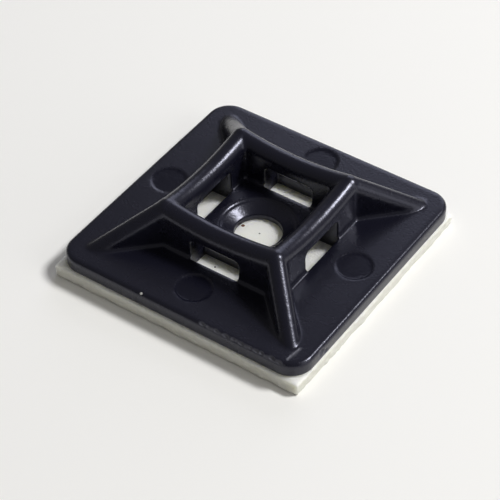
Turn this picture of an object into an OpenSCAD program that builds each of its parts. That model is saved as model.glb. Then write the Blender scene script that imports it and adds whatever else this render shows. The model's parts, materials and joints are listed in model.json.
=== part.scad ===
// Four-way stick-on cable tie mount: a moulded body on a foam pad.
// Millimetres, +Z up. The origin is on the sticking face of the pad, on the
// axis of the screw hole.

/* [Plate] */
// side of the square base plate
plate_w = 20;
// [19:0.5:24]
// thickness of the base plate
plate_t = 1.1;
// [0.9:0.05:1.6]
// corner radius of the plate, seen from above
plate_r = 1.7;
// [1.2:0.1:2.4]
// rounding along the top edge of the plate
edge_r = 0.3;
// [0.15:0.05:0.4]

/* [Frame] */
// width of the square of bars over their outer faces, at the plate
frame_w = 10.6;
// [10:0.1:11.4]
// thickness of a bar at the plate
bar_w = 1.65;
// [1.3:0.05:1.8]
// height of the bar ridge above the plate, half way along
ridge_mid_h = 2.9;
// [2.8:0.05:3.1]
// height of the frame above the plate, at its corners
ridge_corner_h = 3.35;
// [3.2:0.05:3.8]
// how far the round corners of the frame stand proud of the bars
proud = 0.02;
// [0.01:0.01:0.03]
// how far the round ridge of a bar or leg stands proud of its faces
bead = 0.005;
// [0.003:0.001:0.01]
// slope of the moulded faces of the bars and legs, degrees
draft = 1;
// [0.5:0.5:1.5]

/* [Tie tunnels] */
// clear width for the cable tie
tunnel_w = 4;
// [3.2:0.1:4.4]
// clear height above the plate
tunnel_h = 1.6;
// [1.3:0.05:1.8]
// rounding of the upper corners of the tunnel
tunnel_r = 0.35;
// [0.1:0.05:0.6]
// how far the slot in the plate runs past the inner face of the bar
slot_in = 0.1;
// [0.05:0.05:0.3]
// how far the slot runs past the outer face of the bar
slot_out = 0.05;
// [0.05:0.05:0.2]

/* [Legs] */
// width of a corner leg at the plate
leg_w = 1.5;
// [1:0.05:1.6]
// how far in from the side of the plate the ridge of a leg ends
leg_in = 1.5;
// [1.3:0.1:2.4]

/* [Screw hole] */
// clear bore for an M3 screw
hole_d = 3.4;
// [3.2:0.1:3.6]
// width of the shallow rim round the countersink
rim_d = 5.5;
// [5.3:0.1:5.8]
// depth of the rim
rim_t = 0.1;
// [0.05:0.05:0.2]
// width of the countersink where it meets the rim
sink_d = 5.1;
// [4.8:0.1:5.2]
// height of the straight part of the bore
land_t = 0.5;
// [0.4:0.05:0.8]

/* [Ejector marks] */
// diameter of the four round marks
mark_d = 2.6;
// [1.8:0.1:2.8]
// depth of a mark
mark_depth = 0.06;
// [0.03:0.01:0.1]
// how far in from the side of the plate the middle of a mark is
mark_in = 2.2;
// [2:0.1:2.4]
// how far the four marks together sit off centre, along x
mark_off_x = -0.1;
// [-0.3:0.1:0.3]
// how far they sit off centre along y
mark_off_y = 0.3;
// [-0.3:0.1:0.3]

/* [Pad] */
// how much longer than the plate the foam pad is along x
pad_over_x = 0.2;
// [-0.4:0.1:0.6]
// how much longer than the plate it is along y; below 0 is shorter
pad_over_y = -0.1;
// [-0.4:0.1:0.6]
// thickness of the foam pad
pad_t = 1;
// [0.8:0.1:1.6]
// how far off centre the pad was stuck, towards -Y
pad_shift = 0.3;
// [0:0.05:0.4]

/* [Hidden] */
$fn = 40;
plate_top = pad_t + plate_t;
half_in = frame_w / 2 - bar_w;
bar_at = (frame_w - bar_w) / 2;
// how deep the bars and legs are rooted in the plate
root = plate_t / 2;
depth = ridge_corner_h + root;
// radius of the half-round ridge of a rib that is w wide, foot below its crest
function ridge_r(w, foot) = (w / 2 - foot * tan(draft)) * cos(draft) / (1 - sin(draft)) + bead;
bar_r = ridge_r(bar_w, ridge_mid_h);
// middle of the ball at the top of a frame corner, above the plate
ball_h = ridge_corner_h - bar_r;
// ridge line of a bar: an arc that dips between the balls at its two ends
dip = ridge_corner_h - ridge_mid_h;
arc_r = (bar_at * bar_at + dip * dip) / (2 * dip) - bar_r;
arc_a = 2 * asin(bar_at / arc_r) + 4;
// ridge line of a leg: straight, touching the ball and ending at the plate
leg_from = bar_at * sqrt(2);
leg_run = (plate_w / 2 - leg_in) * sqrt(2) - leg_from;
leg_slope = atan(ball_h / leg_run) + asin(bar_r / norm([leg_run, ball_h]));
leg_deep = ridge_corner_h * cos(leg_slope);
leg_len = (ridge_corner_h + root) / sin(leg_slope);

// Section of a rib: a round ridge on two drafted faces. The crest is at x = 0
// and the root at x = deep; the faces are w apart at x = foot.
module rib_section(w, foot, deep) {
    r = ridge_r(w, foot);
    y0 = w / 2 - (foot - r) * tan(draft);
    y1 = w / 2 + (deep - foot) * tan(draft);
    translate([r, 0]) circle(r = r, $fn = 28);
    polygon([[r, -y0], [deep, -y1], [deep, y1], [r, y0]]);
}

// One bar along Y on the +X side, its ridge dipping in the middle. It ends
// inside the two frame corners.
module bar() {
    intersection() {
        translate([bar_at, 0, plate_top + ridge_mid_h + arc_r])
            rotate([0, 90, 0]) rotate([0, 0, -arc_a / 2])
                rotate_extrude(angle = arc_a, $fn = 120)
                    translate([arc_r, 0]) rib_section(bar_w, ridge_mid_h, depth);
        translate([0, -bar_at, plate_top - root]) cube([plate_w, 2 * bar_at, 2 * depth]);
    }
}

// One frame corner at +X +Y: a drafted post with a ball for its top, which
// two bars and a leg run into.
module post() {
    shaft_r = bar_r + proud / 2;
    translate([bar_at, bar_at, plate_top - root]) {
        cylinder(h = root + ball_h, r1 = shaft_r + (root + ball_h) * tan(draft), r2 = shaft_r);
        translate([0, 0, root + ball_h]) rotate([0, 90, 45]) sphere(r = bar_r + proud);
    }
}

// One corner leg, towards +X +Y, its ridge touching the ball of the post.
module leg() {
    rotate([0, 0, 45]) intersection() {
        translate([leg_from, 0, plate_top + ball_h])
            rotate([0, 90 + leg_slope, 0]) translate([-bar_r, 0, 0])
                linear_extrude(leg_len) rib_section(leg_w, leg_deep, leg_deep + root);
        translate([leg_from, -leg_w, plate_top - root])
            cube([plate_w, 2 * leg_w, depth]);
    }
}

// Side profile of the plate with its rounded top edge, from x = 0 to x = w.
module edge_profile(w) {
    square([w - edge_r, plate_t]);
    square([w, plate_t - edge_r]);
    translate([w - edge_r, plate_t - edge_r]) circle(r = edge_r);
}

module plate() {
    core = plate_w - 2 * plate_r;
    translate([0, 0, pad_t]) {
        for (sx = [-1, 1], sy = [-1, 1])
            translate([sx * core / 2, sy * core / 2, 0])
                rotate_extrude() edge_profile(plate_r);
        for (a = [0, 90]) rotate([0, 0, a])
            rotate([90, 0, 0]) translate([0, 0, -core / 2]) linear_extrude(core)
                for (s = [0, 1]) mirror([s, 0]) edge_profile(plate_w / 2);
    }
}

// Space of one tie tunnel with the slot under it, on the +X side.
module tunnel() {
    translate([half_in - slot_in, 0, plate_top]) rotate([90, 0, 90])
        linear_extrude(bar_w + slot_in + slot_out) {
            translate([-tunnel_w / 2, -plate_top]) square([tunnel_w, plate_top + tunnel_h - tunnel_r]);
            translate([tunnel_r - tunnel_w / 2, 0]) square([tunnel_w - 2 * tunnel_r, tunnel_h]);
            for (s = [-1, 1]) translate([s * (tunnel_w / 2 - tunnel_r), tunnel_h - tunnel_r])
                circle(r = tunnel_r);
        }
}

// Through bore with its countersink and rim, and clear space over it.
module screw_hole() {
    cone_t = plate_t - land_t - rim_t;
    cylinder(d = hole_d, h = plate_top);
    translate([0, 0, pad_t + land_t]) cylinder(d1 = hole_d, d2 = sink_d, h = cone_t);
    translate([0, 0, plate_top - rim_t]) cylinder(d = rim_d, h = 1);
}

module mount_body() color("#1d1d24") difference() {
    union() {
        plate();
        for (a = [0, 90, 180, 270]) rotate([0, 0, a]) { bar(); post(); leg(); }
    }
    for (a = [0, 90, 180, 270]) rotate([0, 0, a]) tunnel();
    translate([mark_off_x, mark_off_y, plate_top - mark_depth])
        for (a = [0, 90, 180, 270]) rotate([0, 0, a])
            translate([plate_w / 2 - mark_in, 0, 0]) cylinder(d = mark_d, h = plate_t);
    screw_hole();
}

module foam_pad() color("#e6e6da") {
    pad_x = plate_w + pad_over_x;
    pad_y = plate_w + pad_over_y;
    translate([-pad_x / 2, -pad_y / 2 - pad_shift, 0]) cube([pad_x, pad_y, pad_t]);
}

mount_body();
foam_pad();
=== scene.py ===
import json
import math

import bpy
import numpy as np
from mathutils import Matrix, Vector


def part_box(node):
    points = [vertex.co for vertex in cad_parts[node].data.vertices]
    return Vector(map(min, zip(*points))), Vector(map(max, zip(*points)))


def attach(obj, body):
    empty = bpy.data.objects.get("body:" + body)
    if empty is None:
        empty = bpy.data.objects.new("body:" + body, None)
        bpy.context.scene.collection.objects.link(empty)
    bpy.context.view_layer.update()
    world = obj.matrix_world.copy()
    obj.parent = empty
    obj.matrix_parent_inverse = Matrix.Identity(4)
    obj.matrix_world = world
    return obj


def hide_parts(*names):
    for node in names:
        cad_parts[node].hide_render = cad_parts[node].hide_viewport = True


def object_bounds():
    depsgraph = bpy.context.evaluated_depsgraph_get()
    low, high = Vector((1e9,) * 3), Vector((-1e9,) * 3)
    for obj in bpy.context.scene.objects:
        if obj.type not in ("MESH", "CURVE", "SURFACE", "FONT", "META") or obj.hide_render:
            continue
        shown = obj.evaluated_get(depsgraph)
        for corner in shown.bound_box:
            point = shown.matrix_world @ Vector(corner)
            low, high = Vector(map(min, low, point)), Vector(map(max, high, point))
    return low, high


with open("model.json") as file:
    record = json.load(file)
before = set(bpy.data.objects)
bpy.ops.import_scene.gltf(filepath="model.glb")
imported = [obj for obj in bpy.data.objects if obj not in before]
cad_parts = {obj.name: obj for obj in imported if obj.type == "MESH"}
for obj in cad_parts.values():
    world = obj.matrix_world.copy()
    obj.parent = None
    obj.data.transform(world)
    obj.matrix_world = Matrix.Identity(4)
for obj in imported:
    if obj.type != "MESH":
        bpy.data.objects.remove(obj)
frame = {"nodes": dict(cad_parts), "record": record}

import openvdb
from mathutils import Matrix, Vector

# ---------------------------------------------------------------- sizes, in mm

MM = 0.001
FULL_FIELD = 0.4            # how far from a surface its distance field is kept
BODY_VOXEL = 0.06
PAD_VOXEL = 0.08
THRIFT = 0.02               # how readily small faces are merged where the surface is flat, from 0 to 1
FILLET = 0.22               # radius of the moulding's inner corners
BODY_ROUNDING = 0.05        # radius of the moulding's outer edges
PAD_ROUNDING = 0.06         # radius of the foam's edges
CUT_INSET = 0.07            # how far the foam's cut sides lie inside its box, on average
CUT_DEPTH = 0.35            # how far into the foam the unevenness of the cut reaches
BULGE_Y = -2.25             # where one place on the foam's +X side keeps its full width
BULGE_WIDTH = 0.45
WELL_CLEARANCE = 0.05       # the tie well's box starts this far above the plate
SEED = 7                    # for the nicks in the worn edge and the cut foam's unevenness

cad_bounds = [list(corner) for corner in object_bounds()]
body_low, body_high = [np.array(corner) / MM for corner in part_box("mount_body")]
pad_low, pad_high = [np.array(corner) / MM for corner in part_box("foam_pad")]
tie_well = frame["record"]["physics"]["openings"][0]["box_m"]
plate_top = tie_well[0][2] / MM - WELL_CLEARANCE
pad_top = pad_high[2]
random = np.random.default_rng(SEED)


# ---------------------------------------------------------------- distance fields and meshes

def distance_field(node, voxel):
    """Signed distance to a CAD node's surface in mm, as an array, and the place of its first voxel."""
    mesh = frame["nodes"][node].data
    points = np.zeros(len(mesh.vertices) * 3, np.float32)
    mesh.vertices.foreach_get("co", points)
    points = points.reshape(-1, 3) / MM
    mesh.calc_loop_triangles()
    corners = np.zeros(len(mesh.loop_triangles) * 3, np.int32)
    mesh.loop_triangles.foreach_get("vertices", corners)
    grid = openvdb.FloatGrid.createLevelSetFromPolygons(
        points.astype(np.float32),
        triangles=corners.reshape(-1, 3).astype(np.uint32),
        transform=openvdb.createLinearTransform(voxelSize=voxel),
        halfWidth=FULL_FIELD / voxel,
    )
    low, high = grid.evalActiveVoxelBoundingBox()
    low = np.array(low) - 2
    size = np.array(high) + 3 - low
    field = np.zeros(size, np.float32)
    grid.copyToArray(field, ijk=tuple(int(i) for i in low))
    return field, low * voxel


def field_polygons(field, level, thrift):
    """The surface at which the field has this value, in voxels."""
    grid = openvdb.FloatGrid(FULL_FIELD)
    grid.copyFromArray(field.astype(np.float32), tolerance=0.0)
    return grid.convertToPolygons(isovalue=level, adaptivity=thrift)


def soften(field, voxel, radius):
    """Rounds every edge and inner corner of the shape by about this radius. Flat faces stay."""
    sigma = radius / voxel
    reach = int(math.ceil(3 * sigma))
    weights = np.exp(-0.5 * (np.arange(-reach, reach + 1) / sigma) ** 2)
    weights /= weights.sum()
    for axis in range(3):
        margin = [(reach, reach) if a == axis else (0, 0) for a in range(3)]
        padded = np.pad(field, margin, mode="edge")
        total = np.zeros_like(field)
        for step, weight in enumerate(weights):
            part = [slice(None)] * 3
            part[axis] = slice(step, step + field.shape[axis])
            total += weight * padded[tuple(part)]
        field = total
    return field


def rounded_inside(field, voxel, radius):
    """The shape swollen by the radius and shrunk back, which fills its inner corners with fillets."""
    points, triangles, quads = field_polygons(field, radius, 0.0)
    swollen = openvdb.FloatGrid.createLevelSetFromPolygons(
        points.astype(np.float32),
        triangles=triangles,
        quads=quads,
        transform=openvdb.createLinearTransform(voxelSize=1.0),
        halfWidth=FULL_FIELD / voxel,
    )
    distance = np.zeros_like(field)
    swollen.copyToArray(distance, ijk=(0, 0, 0))
    return distance * voxel + radius


def dented(field, axes, centre, radii):
    """The shape with an ellipsoid of these radii taken away."""
    steps = [(axis - place) / radius for axis, place, radius in zip(axes, centre, radii)]
    reach = np.sqrt(steps[0] ** 2 + steps[1] ** 2 + steps[2] ** 2)
    return np.maximum(field, (1 - reach) * min(radii))


def field_axes(field, voxel, origin):
    """Coordinates in mm along the three axes of a field, shaped so that they broadcast."""
    lines = [origin[a] + voxel * np.arange(field.shape[a]) for a in range(3)]
    return [line.reshape([-1 if a == b else 1 for b in range(3)]) for a, line in enumerate(lines)]


def sample(field, places):
    """Trilinear value of a field at places given in voxels."""
    base = np.clip(np.floor(places).astype(int), 0, np.array(field.shape) - 2)
    part = places - base
    total = np.zeros(len(places))
    for dx in (0, 1):
        for dy in (0, 1):
            for dz in (0, 1):
                share = np.abs(1 - dx - part[:, 0])
                share = share * np.abs(1 - dy - part[:, 1])
                share = share * np.abs(1 - dz - part[:, 2])
                total += share * field[base[:, 0] + dx, base[:, 1] + dy, base[:, 2] + dz]
    return total


def slope_directions(field, points):
    """Unit direction in which the field rises at each point, which is the surface's normal there."""
    step = 0.75
    slopes = []
    for axis in range(3):
        shift = np.zeros(3)
        shift[axis] = step
        slopes.append(sample(field, points + shift) - sample(field, points - shift))
    normals = np.stack(slopes, 1)
    return normals / (np.linalg.norm(normals, axis=1)[:, None] + 1e-9)


def mesh_from_field(name, field, voxel, origin, low, high):
    """A smooth-shaded mesh of the field's zero surface, held inside the CAD node's box."""
    points, triangles, quads = field_polygons(field, 0.0, THRIFT)
    normals = slope_directions(field, points)
    places = np.clip(points * voxel + origin, low, high) * MM
    mesh = bpy.data.meshes.new(name)
    mesh.from_pydata(places.tolist(), [], triangles.tolist() + quads.tolist())
    mesh.validate()
    mesh.polygons.foreach_set("use_smooth", [True] * len(mesh.polygons))
    mesh.normals_split_custom_set_from_vertices(normals.tolist())
    made = bpy.data.objects.new(name, mesh)
    bpy.context.scene.collection.objects.link(made)
    return made


def vertex_places(made):
    """Where a piece's vertices are, in mm."""
    places = np.zeros(len(made.data.vertices) * 3)
    made.data.vertices.foreach_get("co", places)
    return places.reshape(-1, 3) / MM


def vertex_values(made, name, values):
    """Keeps a value for each vertex, which the material reads by this name."""
    kept = made.data.attributes.new(name, "FLOAT", "POINT")
    kept.data.foreach_set("value", np.asarray(values, np.float32))


# ---------------------------------------------------------------- wear, as (centre, radii) of small dents

def side_chips():
    """Two chips in the plate's +X side, near its front corner."""
    side = body_high[0] + 0.02
    return [
        ((side, -7.3, plate_top - 0.45), (0.16, 0.3, 0.26)),
        ((side, -6.8, plate_top - 0.75), (0.13, 0.22, 0.2)),
    ]


def edge_nicks():
    """A row of uneven nicks along the worn half of the plate's -Y edge."""
    made = []
    for along in np.arange(2.2, 9.0, 0.22):
        size = random.uniform(0.05, 0.13)
        place_x = along + random.uniform(-0.08, 0.08)
        place_y = body_low[1] + random.uniform(0.0, 0.14)
        made.append(((place_x, place_y, plate_top - 0.08), (2.0 * size, size, size)))
    return made


def scratch():
    """A short scratch in the plate's top beside the front corner, as a line of overlapping dents."""
    start = np.array((8.74, -9.37, plate_top))
    end = np.array((8.90, -8.20, plate_top))
    return [(tuple(start + share * (end - start)), (0.06, 0.09, 0.05)) for share in np.linspace(0, 1, 16)]


def worn_amount(places, dents):
    """1 inside a dent, falling to 0 a little way outside it."""
    margin = 0.05
    worn = np.zeros(len(places))
    for place, radii in dents:
        reach = np.linalg.norm((places - place) / (np.array(radii) + margin), axis=1)
        worn = np.maximum(worn, np.clip(1.6 - reach * 1.3, 0, 1))
    return worn


def inside_ejector_mark(places):
    """Whether a place is on the floor of one of the four shallow ejector marks."""
    from_middle = np.maximum(np.abs(places[:, 0]), np.abs(places[:, 1]))
    between_frame_and_edge = (from_middle > 6) & (from_middle < 9.4)
    depth = plate_top - places[:, 2]
    return between_frame_and_edge & (depth > 0.03) & (depth < 0.12)


# ---------------------------------------------------------------- moulded body

body_field, body_origin = distance_field("mount_body", BODY_VOXEL)
body_axes = field_axes(body_field, BODY_VOXEL, body_origin)
filled = rounded_inside(body_field, BODY_VOXEL, FILLET)
above_plate = body_axes[2] > plate_top + 0.01
body_field = np.where(above_plate, np.minimum(body_field, filled), body_field)
body_field = soften(body_field, BODY_VOXEL, BODY_ROUNDING)
dents = side_chips() + edge_nicks() + scratch()
for dent_centre, dent_radii in dents:
    body_field = dented(body_field, body_axes, dent_centre, dent_radii)

body_skin = mesh_from_field("mount_body_skin", body_field, BODY_VOXEL, body_origin, body_low, body_high)
body_places = vertex_places(body_skin)
vertex_values(body_skin, "worn", worn_amount(body_places, dents))
vertex_values(body_skin, "pressed", inside_ejector_mark(body_places))
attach(body_skin, "root")
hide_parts("mount_body")


# ---------------------------------------------------------------- foam pad

pad_field, pad_origin = distance_field("foam_pad", PAD_VOXEL)
pad_field = soften(pad_field, PAD_VOXEL, PAD_ROUNDING)
pad_axes = field_axes(pad_field, PAD_VOXEL, pad_origin)

# The knife leaves the cut sides uneven, with single cells standing out and slow waves along them.
cells = soften(random.normal(size=pad_field.shape), PAD_VOXEL, 0.11)
waves = soften(random.normal(size=pad_field.shape), PAD_VOXEL, 0.45)
uneven = 0.02 * cells / cells.std() + 0.018 * waves / waves.std()
pad_middle_y = (pad_low[1] + pad_high[1]) / 2
pad_half_y = (pad_high[1] - pad_low[1]) / 2
past_side_x = np.abs(pad_axes[0]) - pad_high[0]
past_side_y = np.abs(pad_axes[1] - pad_middle_y) - pad_half_y
outward = np.maximum(past_side_x, past_side_y)
at_the_cut = np.clip(1 + outward / CUT_DEPTH, 0, 1)
near_plus_x_side = pad_axes[0] > 9
bulge = np.exp(-((pad_axes[1] - BULGE_Y) / BULGE_WIDTH) ** 2) * near_plus_x_side
pad_field = pad_field + at_the_cut * (CUT_INSET + uneven) * (1 - bulge)

pad_skin = mesh_from_field("foam_pad_skin", pad_field, PAD_VOXEL, pad_origin, pad_low, pad_high)
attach(pad_skin, "root")
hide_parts("foam_pad")


# ---------------------------------------------------------------- materials

# Sockets of a colour mix, which Blender gives the same names as those of a plain value mix.
MIX_FROM = 6
MIX_TO = 7
MIX_RESULT = 2


def srgb(code):
    """Linear colour of an sRGB hex code."""
    parts = [int(code[i:i + 2], 16) / 255 for i in (1, 3, 5)]
    return [p / 12.92 if p <= 0.04045 else ((p + 0.055) / 1.055) ** 2.4 for p in parts] + [1.0]


def add(tree, kind, inputs=(), **settings):
    """Adds a node. A value that is an output socket is linked to the input, any other is set on it."""
    node = tree.nodes.new(kind)
    for name, value in settings.items():
        setattr(node, name, value)
    for name, value in dict(inputs).items():
        if isinstance(value, bpy.types.NodeSocket):
            tree.links.new(value, node.inputs[name])
        else:
            node.inputs[name].default_value = value
    return node


def new_material(name):
    """An empty material and its node tree."""
    material = bpy.data.materials.new(name)
    material.use_nodes = True
    material.node_tree.nodes.clear()
    return material, material.node_tree


def black_nylon():
    """Nylon moulded against spark-eroded steel: a fine grain breaks its highlights into small grains of
    light, the pins' marks are smoother and darker, and worn edges are greyer and duller."""
    material, tree = new_material("injection-moulded black nylon, spark-eroded")
    place = add(tree, "ShaderNodeTexCoord").outputs["Object"]
    wear = add(tree, "ShaderNodeAttribute", attribute_name="worn").outputs["Fac"]
    pin = add(tree, "ShaderNodeAttribute", attribute_name="pressed").outputs["Fac"]

    grain = add(tree, "ShaderNodeTexNoise", {
        "Vector": place, "Scale": 1 / (0.16 * MM), "Detail": 2.0, "Roughness": 0.6})
    bump = add(tree, "ShaderNodeBump", {
        "Height": grain.outputs["Fac"], "Strength": 0.5, "Distance": 0.024 * MM})

    patchy = add(tree, "ShaderNodeTexNoise", {"Vector": place, "Scale": 1 / (1.8 * MM), "Detail": 2.0})
    finish = add(tree, "ShaderNodeMapRange", {
        "Value": patchy.outputs["Fac"], "To Min": 0.23, "To Max": 0.31})
    polished = add(tree, "ShaderNodeMath", {
        0: pin, 1: -0.09, 2: finish.outputs[0]}, operation="MULTIPLY_ADD")
    rubbed = add(tree, "ShaderNodeMath", {
        0: wear, 1: 0.3, 2: polished.outputs[0]}, operation="MULTIPLY_ADD")
    shine = add(tree, "ShaderNodeMath", {0: pin, 1: -0.22, 2: 0.5}, operation="MULTIPLY_ADD")

    specks = 0.0
    for spot, radius in [
        ((-2.74, body_low[1] + 0.1, 2.05), 0.1),
        ((-5.82, -1.72, plate_top), 0.05),
        ((5.25, 2.32, plate_top), 0.05),
        ((3.38, 5.76, plate_top), 0.045),
    ]:
        away = add(tree, "ShaderNodeVectorMath", {0: place, 1: [v * MM for v in spot]}, operation="DISTANCE")
        near = add(tree, "ShaderNodeMath", {0: away.outputs["Value"], 1: radius * MM}, operation="LESS_THAN")
        specks = add(tree, "ShaderNodeMath", {0: near.outputs[0], 1: specks}, operation="ADD").outputs[0]

    pigment = add(tree, "ShaderNodeMix", {
        "Factor": wear, MIX_FROM: srgb("#12121d"), MIX_TO: srgb("#55555c")}, data_type="RGBA")
    spotted = add(tree, "ShaderNodeMix", {
        "Factor": specks, MIX_FROM: pigment.outputs[MIX_RESULT], MIX_TO: srgb("#cfcfca")}, data_type="RGBA")
    shader = add(tree, "ShaderNodeBsdfPrincipled", {
        "Base Color": spotted.outputs[MIX_RESULT],
        "Roughness": rubbed.outputs[0],
        "IOR": 1.53,
        "Specular IOR Level": shine.outputs[0],
        "Specular Tint": srgb("#e2e3f6"),
        "Normal": bump.outputs["Normal"],
    })
    add(tree, "ShaderNodeOutputMaterial", {"Surface": shader.outputs["BSDF"]})
    return material


def white_foam():
    """Die-cut foam tape: light goes into it and comes out again nearby, so it glows a little in the slots.
    Its sides are painted greyer than its top face, which is painted shade, and its colour is a darker grey
    within 0.09 mm of its bottom."""
    material, tree = new_material("white polyethylene foam tape, die-cut")
    place = add(tree, "ShaderNodeTexCoord").outputs["Object"]
    bubbles = add(tree, "ShaderNodeTexVoronoi", {"Vector": place, "Scale": 1 / (0.14 * MM)}, feature="F1")
    bump = add(tree, "ShaderNodeBump", {
        "Height": bubbles.outputs["Distance"], "Strength": 0.45, "Distance": 0.05 * MM})

    # A darker grey colour within 0.09 mm of the foam's bottom.
    height = add(tree, "ShaderNodeSeparateXYZ", {"Vector": place}).outputs["Z"]
    bottom_band = add(tree, "ShaderNodeMath", {0: height, 1: 0.09 * MM}, operation="LESS_THAN")
    shade = add(tree, "ShaderNodeMix", {
        "Factor": bottom_band.outputs[0], MIX_FROM: srgb("#fbfcee"), MIX_TO: srgb("#b4b2a8"),
    }, data_type="RGBA").outputs[MIX_RESULT]
    # Painted shade: faces that look sideways or down get a greyer colour than faces that look up.
    facing = add(tree, "ShaderNodeNewGeometry").outputs["Normal"]
    upward = add(tree, "ShaderNodeSeparateXYZ", {"Vector": facing}).outputs["Z"]
    shade = add(tree, "ShaderNodeMix", {
        "Factor": upward, MIX_FROM: srgb("#d2d1c6"), MIX_TO: shade,
    }, data_type="RGBA", clamp_factor=True).outputs[MIX_RESULT]

    for spot, radius, colour in [
        ((-1.52, 0.31, pad_top), 0.13, "#6b4a30"),
        ((-0.10, 0.29, pad_top), 0.06, "#3a352c"),
        ((-0.74, -4.19, pad_top), 0.07, "#4a443a"),
    ]:
        away = add(tree, "ShaderNodeVectorMath", {0: place, 1: [v * MM for v in spot]}, operation="DISTANCE")
        near = add(tree, "ShaderNodeMath", {0: away.outputs["Value"], 1: radius * MM}, operation="LESS_THAN")
        shade = add(tree, "ShaderNodeMix", {
            "Factor": near.outputs[0], MIX_FROM: shade, MIX_TO: srgb(colour),
        }, data_type="RGBA").outputs[MIX_RESULT]

    shader = add(tree, "ShaderNodeBsdfPrincipled", {
        "Base Color": shade,
        "Roughness": 0.7,
        "Normal": bump.outputs["Normal"],
        "Subsurface Weight": 1.0,
        "Subsurface Radius": (1.0, 1.0, 0.9),
        "Subsurface Scale": 0.9 * MM,
    })
    add(tree, "ShaderNodeOutputMaterial", {"Surface": shader.outputs["BSDF"]})
    return material


def pale_card():
    """Matt card, which keeps the shadow soft and adds no reflection of its own."""
    material, tree = new_material("plain pale card")
    shader = add(tree, "ShaderNodeBsdfPrincipled", {"Base Color": srgb("#f8f7f4"), "Roughness": 0.8})
    add(tree, "ShaderNodeOutputMaterial", {"Surface": shader.outputs["BSDF"]})
    return material


body_skin.data.materials.append(black_nylon())
pad_skin.data.materials.append(white_foam())


# ---------------------------------------------------------------- floor

TABLE_HALF = 0.6            # in metres
table_mesh = bpy.data.meshes.new("table")
table_corners = [(x * TABLE_HALF, y * TABLE_HALF, 0) for x, y in ((-1, -1), (1, -1), (1, 1), (-1, 1))]
table_mesh.from_pydata(table_corners, [], [(0, 1, 2, 3)])
table = bpy.data.objects.new("table", table_mesh)
bpy.context.scene.collection.objects.link(table)
table.location.z = pad_low[2] * MM
table_mesh.materials.append(pale_card())


# ---------------------------------------------------------------- light

centre = (Vector(cad_bounds[0]) + Vector(cad_bounds[1])) / 2


def direction(azimuth, elevation):
    """Unit vector towards a place round the object. Azimuth 0 is towards -Y and 90 towards +X."""
    a = math.radians(azimuth)
    e = math.radians(elevation)
    return Vector((math.sin(a) * math.cos(e), -math.cos(a) * math.cos(e), math.sin(e)))


def softbox(name, azimuth, elevation, distance, size, level, colour):
    """A square soft light. At level 1 a white surface that faces it shows as written."""
    data = bpy.data.lights.new(name, "AREA")
    data.shape = "SQUARE"
    data.size = size
    data.energy = level * math.pi * math.pi * distance ** 2
    data.color = srgb(colour)[:3]
    box = bpy.data.objects.new(name, data)
    box.location = centre + direction(azimuth, elevation) * distance
    box.rotation_mode = "QUATERNION"
    box.rotation_quaternion = direction(azimuth, elevation).to_track_quat("Z", "Y")
    bpy.context.scene.collection.objects.link(box)


softbox("window", 131, 50, 0.5, 0.1, 0.85, "#ffffff")
softbox("side_light", 98, 24, 0.6, 0.36, 0.18, "#ffffff")
softbox("far_wall", 197, 24, 0.5, 0.28, 0.18, "#e9ecff")

world = bpy.data.worlds.new("room")
world.use_nodes = True
world.node_tree.nodes.clear()
room = add(world.node_tree, "ShaderNodeBackground", {"Color": srgb("#f4f2ee"), "Strength": 0.2})
add(world.node_tree, "ShaderNodeOutputWorld", {"Surface": room.outputs["Background"]})
bpy.context.scene.world = world


# ---------------------------------------------------------------- camera

camera = bpy.data.objects.new("camera", bpy.data.cameras.new("camera"))
bpy.context.scene.collection.objects.link(camera)
bpy.context.scene.camera = camera
camera.data.lens = 135.1
camera.data.sensor_width = 36
camera.data.clip_start = 0.01
camera.data.clip_end = 3
look_at = Vector((0.162, -1.269, 0.781)) * MM
camera_distance = 130.45 * MM
back = direction(35.05, 43.91)
level_right = Vector((0, 0, 1)).cross(back).normalized()
level_up = back.cross(level_right)
tilt = math.radians(-0.67)
right = level_right * math.cos(tilt) + level_up * math.sin(tilt)
up = level_up * math.cos(tilt) - level_right * math.sin(tilt)
turned = Matrix((right, up, back)).transposed().to_4x4()
camera.matrix_world = Matrix.Translation(look_at + back * camera_distance) @ turned

bpy.context.scene.view_settings.view_transform = "Standard"
